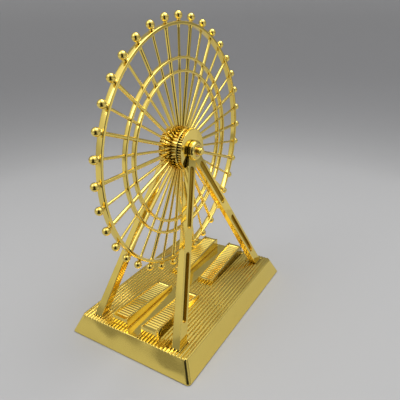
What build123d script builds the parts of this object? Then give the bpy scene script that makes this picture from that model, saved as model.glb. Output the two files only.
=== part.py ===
from build123d import *
import math
import os

# A desk-top Ferris wheel model in gold-plated zinc alloy. The wheel turns by hand on one axle.
# Millimetres. Origin: middle of the base, on the surface it stands on. +Z is up, X runs along the
# base in the plane of the wheel, Y runs along the axle, and the front of the model is at -Y.

# ---- base casting
BASE_LENGTH = 125.4          # along X, at the foot of the sloping sides
BASE_WIDTH = 84.8            # along Y, at the foot of the sloping sides
BASE_TOP = 11.8              # height of the rib crests above the table
RIM_LIFT = 0.4               # the rubber feet hold the casting this far off the table
SIDE_INSET = 5.1             # how far each side leans in from bottom to top
CORNER_RADIUS = 2.2          # upright corner edges
TOP_EDGE_RADIUS = 1.3        # long top edges
SIDE_WALL = 2.0              # measured level, through a sloping side
DECK_WALL = 1.9              # under the valleys of the ribs

# ---- ribbed deck
CENTRE_STRIP_WIDTH = 8.2     # smooth strip down the middle
DECK_EDGE_LAND = 1.2         # smooth land outside the last rib
RIB_PITCH = 2.12             # wanted pitch, adjusted to fill the deck
RIB_HEIGHT = 0.75

# ---- underside
COVER_THICKNESS = 1.2
COVER_RECESS = 0.6           # cover's underside above the casting's lower edge
COVER_GAP = 0.25             # all round the cover
PAD_RADIUS = 5.0             # rubber feet
PAD_INSET = 14.0             # pad centre from the sides of the base
COVER_SCREW_X = 17.0
COVER_SCREW_Y = 27.0
COVER_SCREW_RADIUS = 1.0
COVER_SCREW_LENGTH = 6.0
BOSS_WALL = 1.6              # round each screw hole and leg pocket

# ---- legs
FOOT_END_MARGIN = 7.5        # foot centre from the top edge of a short side
FOOT_SIDE_MARGIN = 10.4      # foot centre from the top edge of a long side
FOOT_LENGTH = 8.5            # along X
FOOT_WIDTH = 8.4             # along Y
FOOT_OUTER_STEP = 0.4        # from the foot's outer side in to the leg's outer face
LEG_FOOT_WIDTH = 6.45        # across the leg, in the plane of the wheel
LEG_TOP_WIDTH = 7.1
LEG_FOOT_DEPTH = 5.3         # along Y
LEG_TOP_DEPTH = 2.5
LEG_TOP_OUTER_Y = 8.3        # outer face at axle height, from the plane of the wheel
LEG_AIM = 0.4                # the centre line passes the axle this far out along X
COLLAR_RELIEF = 0.5          # cut away from the leg round the turning collar
LEG_EDGE_RADIUS = 0.6        # outer long edges
LEG_BACK_RADIUS = 0.5        # inner long edges
MITRE_GAP = 0.04             # between two legs where they meet under the axle
POCKET_DEPTH = 5.4           # below the crests
POCKET_GAP = 0.35            # round each foot
PANEL_DEPTH = 1.2            # sunk panels on the outer faces
PANEL_WALL_LEAN = 30.0       # degrees, how far the panels' walls lean outwards
PANEL_OVERCUT = 0.4          # the cutter stands this far out of the leg's face
PANEL_MARGIN = 1.35          # raised strip along each side of a panel
PANEL_FOOT_LAND = 9.2        # height from the crests to the lower panel
LOWER_PANEL_RISE = 36.3      # height of the lower panel
PANEL_MIDDLE_LAND = 8.6      # height between the two panels
PANEL_TOP_LAND = 1.9         # from the bearing head down to the upper panel
LEG_SCREW_RADIUS = 1.5
LEG_SCREW_BITE = 6.0         # length inside the leg
LEG_SCREW_SEAT = 2.1         # from the cover up to the underside of the screw's head
SCREW_HEAD_RATIO = 1.75      # head radius over shank radius
HEAD_CLEARANCE = 0.08        # radial, round a screw's head
SPIGOT_RADIUS = 0.7          # pin on top of each leg, inside the bearing head
SPIGOT_LENGTH = 1.7
SPIGOT_EDGE = 0.25           # from the pin to the head's inner face
SPIGOT_END_GAP = 0.15        # past the pin's tip

# ---- boarding ramps
RAMP_LOW_X = 8.4             # low end from the middle of the base
RAMP_LENGTH = 45.6
RAMP_WIDTH = 11.3            # at the deck
RAMP_DRAFT = 3.5             # degrees, how far the long sides lean in
RAMP_STRIP_GAP = 0.7         # from the centre strip to the ramp
RAMP_LOW_HEIGHT = 2.5        # above the crests
RAMP_HIGH_HEIGHT = 6.5
RAMP_LANDING = 2.4           # level top at the high end
RAMP_CURB_WIDTH = 0.9
RAMP_CURB_HEIGHT = 0.55
RAMP_STEPS = 21
RAMP_STEP_HEIGHT = 0.5
RAMP_SEAT_GAP = 0.08
RAMP_PIN_RADIUS = 1.2
RAMP_PIN_INSET = 9.0         # pin centre from each end of the ramp
RAMP_PIN_STAND = 1.5         # the pins come out this far under the deck
RAMP_PIN_ROOT = 0.5          # inside the ramp

# ---- wheel
AXLE_HEIGHT = 106.4
SPOKE_COUNT = 36
WHEEL_REST_TURN = 0.59       # degrees from a spoke standing straight up
RIM_RADIUS = 68.35           # outside
RIM_THICKNESS = 2.05
RIM_WIDTH = 3.8
OUTER_RING_RADIUS = 51.0
INNER_RING_RADIUS = 44.0
RING_THICKNESS = 1.7
RING_WIDTH = 2.8
BAND_EDGE_RADIUS = 0.3
THICK_SPOKE_RADIUS = 1.02
THIN_SPOKE_RADIUS = 0.72
SPOKE_SEAT = 0.8             # depth of each spoke in the rim
BALL_RADIUS = 2.2
BALL_NECK = 0.45             # from the rim to the ball
BALL_STEM_RADIUS = 0.85
BALL_SEAT = 0.7

# ---- hub
BARREL_LENGTH = 7.2
ROOT_GAP = 0.1               # between neighbouring spokes at their roots
SPOKE_ROOT = 0.1             # depth of each spoke below the barrel's skin
FIN_HEIGHT = 1.5
FIN_THICKNESS = 1.1
FLANGE_LIP = 0.5             # from the fins' tips out to the flange's edge
FLANGE_THICKNESS = 1.1
GROOVE_WIDTH = 0.7           # dark groove between flange and collar
GROOVE_DEPTH = 2.2
COLLAR_RADIUS = 12.2
COLLAR_THICKNESS = 2.3
COLLAR_BEVEL = 0.8
COLLAR_NECK_BITE = 0.2       # overlap of the collar and its narrow neck
KNURL_COUNT = 52
KNURL_RADIUS = 0.5

# ---- axle and bearings
AXLE_RADIUS = 2.2
AXLE_END_RADIUS = 0.8
AXLE_TIP = 3.1               # past the bearing head
HEAD_RADIUS = 5.8
HEAD_THICKNESS = 3.3
HEAD_EDGE_RADIUS = 1.9       # rounds the head over towards the axle
HEAD_GAP = 0.35              # from the collar to the bearing head
BUSH_WALL = 1.0
RUNNING_FIT = 0.05           # radial, axle in bush
SNUG_FIT = 0.02              # radial, between pieces that don't turn on each other

# ---- places worked out from the sizes above
half_length = BASE_LENGTH / 2
half_width = BASE_WIDTH / 2
top_half_length = half_length - SIDE_INSET
top_half_width = half_width - SIDE_INSET
base_height = BASE_TOP - RIM_LIFT
side_lean = SIDE_INSET / base_height
valley_z = BASE_TOP - RIB_HEIGHT
deck_under_z = valley_z - DECK_WALL
cover_bottom_z = RIM_LIFT + COVER_RECESS
cover_top_z = cover_bottom_z + COVER_THICKNESS

foot_x = top_half_length - FOOT_END_MARGIN
foot_y = top_half_width - FOOT_SIDE_MARGIN
leg_foot_y = foot_y + (FOOT_WIDTH - LEG_FOOT_DEPTH) / 2 - FOOT_OUTER_STEP
leg_rise = AXLE_HEIGHT - BASE_TOP
leg_angle = math.atan2(foot_x - LEG_AIM, leg_rise)
foot_width_x = LEG_FOOT_WIDTH / math.cos(leg_angle)
top_width_x = LEG_TOP_WIDTH / math.cos(leg_angle)
pocket_floor_z = BASE_TOP - POCKET_DEPTH
leg_screw_head_radius = LEG_SCREW_RADIUS * SCREW_HEAD_RATIO
leg_screw_head_height = LEG_SCREW_RADIUS
leg_screw_seat_z = cover_top_z + LEG_SCREW_SEAT
cover_screw_head_radius = COVER_SCREW_RADIUS * SCREW_HEAD_RATIO

flange_inner = BARREL_LENGTH / 2
flange_outer = flange_inner + FLANGE_THICKNESS
collar_inner = flange_outer + GROOVE_WIDTH
collar_outer = collar_inner + COLLAR_THICKNESS
head_inner = collar_outer + HEAD_GAP
head_outer = head_inner + HEAD_THICKNESS
axle_half = head_outer + AXLE_TIP
bush_radius = AXLE_RADIUS + RUNNING_FIT + BUSH_WALL
leg_top_y = LEG_TOP_OUTER_Y - LEG_TOP_DEPTH / 2
spigot_y = head_inner + SPIGOT_EDGE + SPIGOT_RADIUS

rim_inner = RIM_RADIUS - RIM_THICKNESS
ball_centre = RIM_RADIUS + BALL_NECK + BALL_RADIUS
spoke_pitch = 360 / SPOKE_COUNT
root_spacing = THICK_SPOKE_RADIUS + THIN_SPOKE_RADIUS + ROOT_GAP
spoke_inner = root_spacing / (2 * math.sin(math.radians(spoke_pitch / 2)))
barrel_radius = spoke_inner + SPOKE_ROOT
fin_radius = barrel_radius + FIN_HEIGHT
flange_radius = fin_radius + FLANGE_LIP

ramp_side_y = CENTRE_STRIP_WIDTH / 2 + RAMP_STRIP_GAP
ramp_mid_y = ramp_side_y + RAMP_WIDTH / 2
ramp_high_x = RAMP_LOW_X + RAMP_LENGTH
ramp_pin_length = DECK_WALL + RAMP_PIN_STAND
ramp_pin_places = (RAMP_LOW_X + RAMP_PIN_INSET, ramp_high_x - RAMP_PIN_INSET)
EXTRA = 5.0                  # overshoot of cutting tools

CORNERS = {"front_left": (-1, -1), "front_right": (1, -1), "rear_left": (-1, 1), "rear_right": (1, 1)}
SIDES = {"front": -1, "rear": 1}


def prism(points, plane, depth):
    """A closed outline of points on a plane, pushed out along the plane's normal both ways."""
    outline = Wire.make_polygon([Vector(*p) for p in points], close=True)
    return extrude(plane * Face(outline), amount=depth, both=True, dir=plane.z_dir)


def on_axle(piece):
    """From the wheel's own frame (axis +Z to the front, first spoke along +Y) to its place."""
    return Pos(0, 0, AXLE_HEIGHT) * Rot(90, 0, 0) * piece


def to_corner(piece, corner):
    """From the right rear quarter of the model to any other quarter."""
    x_sign, y_sign = CORNERS[corner]
    if x_sign < 0:
        piece = mirror(piece, Plane.YZ)
    if y_sign < 0:
        piece = mirror(piece, Plane.XZ)
    return piece


def half_length_at(z):
    return half_length - side_lean * (z - RIM_LIFT)


def half_width_at(z):
    return half_width - side_lean * (z - RIM_LIFT)


def deck_profile():
    """Outline in Y and Z of everything above the ribbed deck, used to cut the deck's shape."""
    ceiling = BASE_TOP + 2 * EXTRA
    beyond = half_width + EXTRA
    slope_angle = math.atan2(SIDE_INSET, base_height)
    bend = (math.pi / 2 - slope_angle) / 2
    tangent = TOP_EDGE_RADIUS * math.tan(bend)
    centre = (top_half_width - tangent, BASE_TOP - TOP_EDGE_RADIUS)

    def on_edge_round(angle):
        return (centre[0] + TOP_EDGE_RADIUS * math.cos(angle), centre[1] + TOP_EDGE_RADIUS * math.sin(angle))

    strip = CENTRE_STRIP_WIDTH / 2
    ribs_end = top_half_width - DECK_EDGE_LAND
    count = round((ribs_end - strip) / RIB_PITCH)
    pitch = (ribs_end - strip) / count
    edges = []
    for side in (1, -1):
        run = [Line((0, BASE_TOP), (strip, BASE_TOP)), Line((strip, BASE_TOP), (strip, valley_z))]
        for k in range(count):
            start = strip + k * pitch
            end = start + pitch
            run.append(ThreePointArc((start, valley_z), ((start + end) / 2, BASE_TOP), (end, valley_z)))
        run.append(Line((ribs_end, valley_z), (ribs_end, BASE_TOP)))
        run.append(Line((ribs_end, BASE_TOP), (centre[0], BASE_TOP)))
        middle = on_edge_round((math.pi / 2 + slope_angle) / 2)
        end = on_edge_round(slope_angle)
        run.append(ThreePointArc((centre[0], BASE_TOP), middle, end))
        run.append(Line(end, (beyond, end[1])))
        run.append(Line((beyond, end[1]), (beyond, ceiling)))
        if side < 0:
            run = [mirror(edge, Plane.YZ) for edge in run]
        edges += run
    edges.append(Line((-beyond, ceiling), (beyond, ceiling)))
    return Face(Wire([edge.edge() for edge in edges]))


def make_base():
    """Hollow ribbed casting, open underneath, with pockets for the feet and bosses for screws."""
    over = BASE_TOP + TOP_EDGE_RADIUS
    sections = []
    for z in (RIM_LIFT, over):
        outline = RectangleRounded(2 * half_length_at(z), 2 * half_width_at(z), CORNER_RADIUS)
        sections.append(Pos(0, 0, z) * outline)
    casting = loft(sections, ruled=True)
    casting -= extrude(Plane.YZ * deck_profile(), amount=half_length + EXTRA, both=True, dir=(1, 0, 0))

    cavity = []
    for z in (RIM_LIFT, deck_under_z):
        size = (2 * (half_length_at(z) - SIDE_WALL), 2 * (half_width_at(z) - SIDE_WALL))
        cavity.append(Pos(0, 0, z) * Rectangle(*size))
    casting -= loft(cavity, ruled=True)

    up = (Align.CENTER, Align.CENTER, Align.MIN)
    boss_height = valley_z - cover_top_z
    block = Box(FOOT_LENGTH + 2 * BOSS_WALL + 2 * POCKET_GAP, FOOT_WIDTH + 2 * BOSS_WALL + 2 * POCKET_GAP,
                boss_height, align=up)
    post = Cylinder(COVER_SCREW_RADIUS + BOSS_WALL, boss_height, align=up)
    pocket = Box(FOOT_LENGTH + 2 * POCKET_GAP, FOOT_WIDTH + 2 * POCKET_GAP, POCKET_DEPTH + EXTRA, align=up)
    ramp_seat = Box(RAMP_LENGTH + 2 * RAMP_SEAT_GAP, RAMP_WIDTH + 2 * RAMP_SEAT_GAP, RIB_HEIGHT + EXTRA,
                    align=up)
    for x_sign, y_sign in CORNERS.values():
        foot = Pos(x_sign * foot_x, y_sign * foot_y, 0)
        leg_screw = Pos(x_sign * foot_x, y_sign * leg_foot_y, 0)
        screw = Pos(x_sign * COVER_SCREW_X, y_sign * COVER_SCREW_Y, 0)
        casting += foot * Pos(0, 0, cover_top_z) * block
        casting += screw * Pos(0, 0, cover_top_z) * post
        casting -= foot * Pos(0, 0, pocket_floor_z) * pocket
        casting -= leg_screw * bolt(LEG_SCREW_RADIUS + SNUG_FIT, leg_screw_head_radius + HEAD_CLEARANCE,
                                    cover_top_z - EXTRA, leg_screw_seat_z, pocket_floor_z + EXTRA)
        casting -= screw * Pos(0, 0, cover_top_z) * Cylinder(COVER_SCREW_RADIUS + SNUG_FIT, COVER_SCREW_LENGTH,
                                                              align=up)
        ramp = Pos(x_sign * (RAMP_LOW_X + ramp_high_x) / 2, y_sign * ramp_mid_y, valley_z)
        casting -= ramp * ramp_seat
        for x in ramp_pin_places:
            place = Pos(x_sign * x, y_sign * ramp_mid_y, 0)
            casting -= place * Cylinder(RAMP_PIN_RADIUS + SNUG_FIT, 2 * BASE_TOP)
    return casting


def bolt(shank_radius, head_radius, head_z, seat_z, tip_z):
    """Upright screw form: head from head_z up to seat_z, shank on up to tip_z."""
    up = (Align.CENTER, Align.CENTER, Align.MIN)
    head = Pos(0, 0, head_z) * Cylinder(head_radius, seat_z - head_z, align=up)
    shank = Pos(0, 0, seat_z) * Cylinder(shank_radius, tip_z - seat_z, align=up)
    return head + shank


def make_cover():
    """Flat plate that closes the hollow underside."""
    length = 2 * (half_length_at(cover_top_z) - SIDE_WALL - COVER_GAP)
    width = 2 * (half_width_at(cover_top_z) - SIDE_WALL - COVER_GAP)
    plate = Pos(0, 0, cover_bottom_z) * Box(length, width, COVER_THICKNESS,
                                            align=(Align.CENTER, Align.CENTER, Align.MIN))
    plate = fillet(plate.edges().filter_by(Axis.Z), CORNER_RADIUS)
    for x_sign, y_sign in CORNERS.values():
        plate -= Pos(x_sign * COVER_SCREW_X, y_sign * COVER_SCREW_Y, 0) * cover_screw_form(SNUG_FIT)
    return plate


def cover_screw_form(gap):
    """Countersunk screw, head flush with the cover's underside, grown by a gap."""
    depth = cover_screw_head_radius - COVER_SCREW_RADIUS
    up = (Align.CENTER, Align.CENTER, Align.MIN)
    head = Pos(0, 0, cover_bottom_z) * Cone(cover_screw_head_radius + gap, COVER_SCREW_RADIUS + gap, depth,
                                            align=up)
    shank = Pos(0, 0, cover_bottom_z) * Cylinder(COVER_SCREW_RADIUS + gap, COVER_SCREW_LENGTH, align=up)
    return head + shank


def cross_slot(radius, z, depth):
    """Cross recess in a screw head that faces down at level z."""
    arm = Box(1.5 * radius, 0.3 * radius, 2 * depth)
    return Pos(0, 0, z) * (arm + Rot(0, 0, 90) * arm)


def make_cover_screws():
    form = cover_screw_form(0) - cross_slot(cover_screw_head_radius, cover_bottom_z, COVER_THICKNESS / 3)
    return [Pos(sx * COVER_SCREW_X, sy * COVER_SCREW_Y, 0) * form for sx, sy in CORNERS.values()]


def make_pads():
    pad = Cylinder(PAD_RADIUS, cover_bottom_z, align=(Align.CENTER, Align.CENTER, Align.MIN))
    pad = fillet(pad.edges().group_by(Axis.Z)[0], RIM_LIFT * 0.75)
    return [Pos(sx * (half_length - PAD_INSET), sy * (half_width - PAD_INSET), 0) * pad
            for sx, sy in CORNERS.values()]


def make_leg_screws():
    tip_z = pocket_floor_z + LEG_SCREW_BITE
    head_z = leg_screw_seat_z - leg_screw_head_height
    form = bolt(LEG_SCREW_RADIUS, leg_screw_head_radius, head_z, leg_screw_seat_z, tip_z)
    form -= cross_slot(leg_screw_head_radius, head_z, leg_screw_head_height / 2)
    return [Pos(sx * foot_x, sy * leg_foot_y, 0) * form for sx, sy in CORNERS.values()]


def leg_section(z):
    """Centre and size of the right rear leg, cut level at height z."""
    share = (z - BASE_TOP) / leg_rise
    centre = (foot_x + (LEG_AIM - foot_x) * share, leg_foot_y + (leg_top_y - leg_foot_y) * share)
    size = (foot_width_x + (top_width_x - foot_width_x) * share,
            LEG_FOOT_DEPTH + (LEG_TOP_DEPTH - LEG_FOOT_DEPTH) * share)
    return centre, size


def outer_face_point(z):
    (x, y), (width, depth) = leg_section(z)
    return Vector(x, y + depth / 2, z)


def panel_cutter(z_low, z_high):
    """A long trough with leaning walls and rounded ends, sunk into the right rear leg's outer face."""
    low, high = outer_face_point(z_low), outer_face_point(z_high)
    along = (high - low).normalized()
    across = (Vector(1, 0, 0) - along * along.X).normalized()
    floor = Plane(origin=low, x_dir=-across, z_dir=(-across).cross(along)).offset(-PANEL_DEPTH)
    wall_run = PANEL_DEPTH * math.tan(math.radians(PANEL_WALL_LEAN))
    length = (high - low).length
    ends = []
    for z in (z_low, z_high):
        face_radius = leg_section(z)[1][0] * math.cos(leg_angle) / 2 - PANEL_MARGIN
        place = face_radius if z == z_low else length - face_radius
        ends.append(Pos(0, place) * Circle(face_radius - wall_run))
    outline = make_hull(ends[0].edges() + ends[1].edges())
    return extrude(floor * outline, amount=PANEL_DEPTH + PANEL_OVERCUT, taper=-PANEL_WALL_LEAN)


def make_foot():
    """Block under the leg, ribbed on top like the deck round it."""
    foot = Pos(foot_x, foot_y, pocket_floor_z) * Box(FOOT_LENGTH, FOOT_WIDTH, POCKET_DEPTH,
                                                     align=(Align.CENTER, Align.CENTER, Align.MIN))
    return foot - extrude(Plane.YZ * deck_profile(), amount=half_length + EXTRA, both=True, dir=(1, 0, 0))


def make_leg():
    """The right rear leg: a tapering bar with two sunk panels, a foot and a pin on top."""
    sections = []
    for z in (valley_z - DECK_WALL / 2, AXLE_HEIGHT):
        (x, y), size = leg_section(z)
        sections.append(Pos(x, y, z) * Rectangle(*size))
    leg = loft(sections, ruled=True)
    for radius, edge_pair in ((LEG_EDGE_RADIUS, slice(-2, None)), (LEG_BACK_RADIUS, slice(0, 2))):
        long_edges = leg.edges().filter_by(lambda edge: abs(edge.tangent_at(0).Z) > 0.5)
        leg = fillet(long_edges.sort_by(Axis.Y)[edge_pair], radius)

    lower_top = BASE_TOP + PANEL_FOOT_LAND + LOWER_PANEL_RISE
    upper_top = AXLE_HEIGHT - (HEAD_RADIUS + PANEL_TOP_LAND) * math.cos(leg_angle)
    leg -= panel_cutter(BASE_TOP + PANEL_FOOT_LAND, lower_top)
    leg -= panel_cutter(lower_top + PANEL_MIDDLE_LAND, upper_top)

    leg += make_foot()
    leg -= Pos(0, 0, AXLE_HEIGHT) * Rot(90, 0, 0) * Cylinder(HEAD_RADIUS, BASE_WIDTH)
    leg -= Pos(0, 0, AXLE_HEIGHT) * Rot(90, 0, 0) * Cylinder(COLLAR_RADIUS + COLLAR_RELIEF, 2 * head_inner)
    leg -= Pos(MITRE_GAP / 2, 0, AXLE_HEIGHT) * Box(BASE_LENGTH, BASE_WIDTH, leg_rise,
                                                    align=(Align.MAX, Align.CENTER, Align.CENTER))
    screw_tip_z = pocket_floor_z + LEG_SCREW_BITE
    leg -= Pos(foot_x, leg_foot_y, 0) * Cylinder(LEG_SCREW_RADIUS + SNUG_FIT, 2 * screw_tip_z)
    leg += leg_pin(SPIGOT_RADIUS, 0)
    return leg


def leg_pin(radius, gap):
    """Round pin that points from the right leg's top end at the axle."""
    reach = SPIGOT_LENGTH + gap
    length = reach + 2 * SPIGOT_RADIUS
    pin = Cylinder(radius, length, align=(Align.CENTER, Align.CENTER, Align.MIN))
    turn = Rot(0, 180 - math.degrees(leg_angle), 0)
    return Pos(0, spigot_y, AXLE_HEIGHT) * turn * Pos(0, 0, HEAD_RADIUS - reach) * pin


def make_head():
    """Rear bearing head: a round boss that the two rear legs carry."""
    head = Cylinder(HEAD_RADIUS - SNUG_FIT, HEAD_THICKNESS)
    head = fillet(head.edges().group_by(Axis.Z)[-1], HEAD_EDGE_RADIUS)
    head -= Cylinder(bush_radius + SNUG_FIT, HEAD_THICKNESS + EXTRA)
    head = Pos(0, (head_inner + head_outer) / 2, AXLE_HEIGHT) * Rot(-90, 0, 0) * head
    socket = leg_pin(SPIGOT_RADIUS + SNUG_FIT, SPIGOT_END_GAP)
    return head - socket - mirror(socket, Plane.YZ)


def make_bush():
    bush = Cylinder(bush_radius, HEAD_THICKNESS) - Cylinder(AXLE_RADIUS + RUNNING_FIT, HEAD_THICKNESS + EXTRA)
    return Pos(0, (head_inner + head_outer) / 2, AXLE_HEIGHT) * Rot(90, 0, 0) * bush


def make_ramp():
    """The right rear boarding ramp: a wedge with cross ribs between two curbs."""
    low = BASE_TOP + RAMP_LOW_HEIGHT
    high = BASE_TOP + RAMP_HIGH_HEIGHT
    slope_end = ramp_high_x - RAMP_LANDING
    side = [(RAMP_LOW_X, valley_z), (ramp_high_x, valley_z), (ramp_high_x, high), (slope_end, high),
            (RAMP_LOW_X, low)]
    wedge = prism(side, Plane.XZ.offset(-ramp_mid_y), RAMP_WIDTH / 2)
    narrowing = 2 * (high - valley_z) * math.tan(math.radians(RAMP_DRAFT))
    mid_x = (RAMP_LOW_X + ramp_high_x) / 2
    hull = [Pos(mid_x, ramp_mid_y, z) * Rectangle(2 * RAMP_LENGTH, width)
            for z, width in ((valley_z, RAMP_WIDTH), (high, RAMP_WIDTH - narrowing))]
    wedge &= loft(hull, ruled=True)
    slope = (high - low) / (slope_end - RAMP_LOW_X)
    step = (slope_end - RAMP_LOW_X) / RAMP_STEPS

    def tread(x):
        return low - RAMP_CURB_HEIGHT + slope * (x - RAMP_LOW_X)

    edges = []
    for k in range(RAMP_STEPS):
        x0 = RAMP_LOW_X + k * step
        x1 = x0 + step
        start, end = (x0, tread(x0) - RAMP_STEP_HEIGHT), (x1, tread(x1) - RAMP_STEP_HEIGHT)
        edges.append(ThreePointArc(start, ((x0 + x1) / 2, tread((x0 + x1) / 2)), end))
    outer = [(slope_end, tread(slope_end) - RAMP_STEP_HEIGHT), (slope_end, high - RAMP_CURB_HEIGHT),
             (ramp_high_x + EXTRA, high - RAMP_CURB_HEIGHT), (ramp_high_x + EXTRA, high + EXTRA),
             (RAMP_LOW_X - EXTRA, high + EXTRA), (RAMP_LOW_X - EXTRA, tread(RAMP_LOW_X) - RAMP_STEP_HEIGHT),
             (RAMP_LOW_X, tread(RAMP_LOW_X) - RAMP_STEP_HEIGHT)]
    edges += [Line(a, b) for a, b in zip(outer, outer[1:])]
    face = Face(Wire([edge.edge() for edge in edges]))
    plane = Plane.XZ.offset(-ramp_mid_y)
    tread_half_width = (RAMP_WIDTH - narrowing) / 2 - RAMP_CURB_WIDTH
    wedge -= extrude(plane * face, amount=tread_half_width, both=True, dir=(0, 1, 0))
    for x in ramp_pin_places:
        pin = Cylinder(RAMP_PIN_RADIUS, ramp_pin_length + RAMP_PIN_ROOT,
                       align=(Align.CENTER, Align.CENTER, Align.MAX))
        wedge += Pos(x, ramp_mid_y, valley_z + RAMP_PIN_ROOT) * pin
    return wedge


def spoke_turn(k):
    return Rot(0, 0, -(WHEEL_REST_TURN + k * spoke_pitch))


def radial_rod(radius, start, end):
    """Round rod along +Y of the wheel's own frame."""
    return Pos(0, (start + end) / 2, 0) * Rot(90, 0, 0) * Cylinder(radius, end - start)


def spoke_radius(k):
    return THICK_SPOKE_RADIUS if k % 2 else THIN_SPOKE_RADIUS


def spokes(gap, numbers):
    end = rim_inner + SPOKE_SEAT
    return [spoke_turn(k) * radial_rod(spoke_radius(k) + gap, spoke_inner - gap, end + gap) for k in numbers]


def balls(gap):
    ball = Pos(0, ball_centre, 0) * Sphere(BALL_RADIUS)
    stem = radial_rod(BALL_STEM_RADIUS + gap, RIM_RADIUS - BALL_SEAT - gap, ball_centre)
    return [spoke_turn(k) * (ball + stem) for k in range(SPOKE_COUNT)]


def band(radius, thickness, width):
    """Flat ring of rectangular section with its four edges rounded."""
    ring = Cylinder(radius, width) - Cylinder(radius - thickness, width + EXTRA)
    return fillet(ring.edges().filter_by(GeomType.CIRCLE), BAND_EDGE_RADIUS)


def make_wheel():
    every = range(SPOKE_COUNT)
    holes = spokes(SNUG_FIT, every)
    rim = band(RIM_RADIUS, RIM_THICKNESS, RIM_WIDTH) - holes - balls(SNUG_FIT)
    outer_ring = band(OUTER_RING_RADIUS, RING_THICKNESS, RING_WIDTH) - holes
    inner_ring = band(INNER_RING_RADIUS, RING_THICKNESS, RING_WIDTH) - holes

    fin = Pos(0, fin_radius - FIN_HEIGHT, 0) * Box(FIN_THICKNESS, 2 * FIN_HEIGHT, BARREL_LENGTH)
    barrel = Cylinder(barrel_radius, BARREL_LENGTH) + [spoke_turn(k) * fin for k in every]
    barrel = barrel - holes - Cylinder(AXLE_RADIUS + SNUG_FIT, BARREL_LENGTH + EXTRA)

    flange = Cylinder(flange_radius, FLANGE_THICKNESS)
    flange = fillet(flange.edges(), BAND_EDGE_RADIUS) - Cylinder(AXLE_RADIUS + SNUG_FIT, EXTRA)

    up = (Align.CENTER, Align.CENTER, Align.MIN)
    collar = Cylinder(COLLAR_RADIUS, COLLAR_THICKNESS, align=up)
    collar = chamfer(collar.edges().group_by(Axis.Z)[-1], COLLAR_BEVEL)
    groove_length = COLLAR_THICKNESS - COLLAR_BEVEL
    groove = Pos(0, COLLAR_RADIUS, -EXTRA) * Cylinder(KNURL_RADIUS, groove_length + EXTRA, align=up)
    collar -= [Rot(0, 0, k * 360 / KNURL_COUNT) * groove for k in range(KNURL_COUNT)]
    neck = Cylinder(COLLAR_RADIUS - GROOVE_DEPTH, GROOVE_WIDTH + COLLAR_NECK_BITE, align=up)
    collar += Pos(0, 0, -GROOVE_WIDTH) * neck
    collar -= Cylinder(AXLE_RADIUS + SNUG_FIT, 4 * EXTRA)

    axle = Cylinder(AXLE_RADIUS, 2 * axle_half)
    axle = fillet(axle.edges().filter_by(GeomType.CIRCLE), AXLE_END_RADIUS)

    pieces = {"rim": rim, "outer_ring": outer_ring, "inner_ring": inner_ring, "hub_barrel": barrel,
              "axle": axle, "thick_spokes": spokes(0, every[1::2]), "thin_spokes": spokes(0, every[0::2]),
              "ball_finials": balls(0)}
    for side, sign in SIDES.items():
        flip = Rot(0, 0, 0) if sign < 0 else Rot(0, 180, 0)
        middle = (flange_inner + flange_outer) / 2
        pieces["hub_flange_" + side] = flip * Pos(0, 0, middle) * flange
        pieces["knurled_collar_" + side] = flip * Pos(0, 0, collar_inner) * collar
    return pieces


def as_node(piece, place=lambda shape: shape):
    """One solid, or a group of separate solids, in its final place."""
    if isinstance(piece, list):
        return Compound([place(shape).solid() for shape in piece])
    return place(piece)


nodes = {
    "base_plinth": make_base(),
    "base_cover": make_cover(),
    "cover_screws": as_node(make_cover_screws()),
    "rubber_feet": as_node(make_pads()),
    "leg_screws": as_node(make_leg_screws()),
}
leg = make_leg()
ramp = make_ramp()
for corner in CORNERS:
    nodes["leg_" + corner] = to_corner(leg, corner)
    nodes["ramp_" + corner] = to_corner(ramp, corner)
head = make_head()
bush = make_bush()
for side, sign in SIDES.items():
    nodes["bearing_head_" + side] = mirror(head, Plane.XZ) if sign < 0 else head
    nodes["bush_" + side] = mirror(bush, Plane.XZ) if sign < 0 else bush
for name, piece in make_wheel().items():
    nodes[name] = as_node(piece, on_axle)

os.makedirs("parts", exist_ok=True)
for name, shape in nodes.items():
    export_step(shape, os.path.join("parts", name + ".step"))
print(len(nodes), "nodes written")
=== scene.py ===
# %% [markdown]
# # A gold-plated Ferris wheel model
# The model stands on a desk and its wheel turns by hand. Every object sits at the origin with its
# place in its mesh, so a new piece that takes its measures from these objects needs no fitting by
# eye.

# %% Load the frame
import math

import bmesh
import bpy
from mathutils import Matrix, Vector


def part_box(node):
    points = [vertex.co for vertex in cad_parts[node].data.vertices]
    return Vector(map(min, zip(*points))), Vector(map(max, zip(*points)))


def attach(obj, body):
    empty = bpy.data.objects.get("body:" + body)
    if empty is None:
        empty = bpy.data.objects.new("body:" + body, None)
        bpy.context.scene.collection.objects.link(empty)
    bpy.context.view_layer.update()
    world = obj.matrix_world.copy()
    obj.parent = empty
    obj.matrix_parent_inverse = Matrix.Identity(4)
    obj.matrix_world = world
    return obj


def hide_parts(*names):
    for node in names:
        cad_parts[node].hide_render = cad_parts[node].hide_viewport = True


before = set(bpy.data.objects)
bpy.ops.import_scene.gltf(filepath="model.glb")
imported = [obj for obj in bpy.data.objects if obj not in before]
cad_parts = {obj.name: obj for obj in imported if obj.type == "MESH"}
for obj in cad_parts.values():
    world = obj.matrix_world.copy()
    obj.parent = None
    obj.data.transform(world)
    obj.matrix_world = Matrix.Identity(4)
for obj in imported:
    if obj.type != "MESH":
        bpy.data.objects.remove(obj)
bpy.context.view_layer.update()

# %% [markdown]
# The camera stands to the left of the model's front and a little above it. A bearing, a tilt and a
# place are easier to judge than three turns, so the camera's direction is worked out from them. The
# plain Standard view is set, because the factory one takes the colour out of bright gold.

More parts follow.
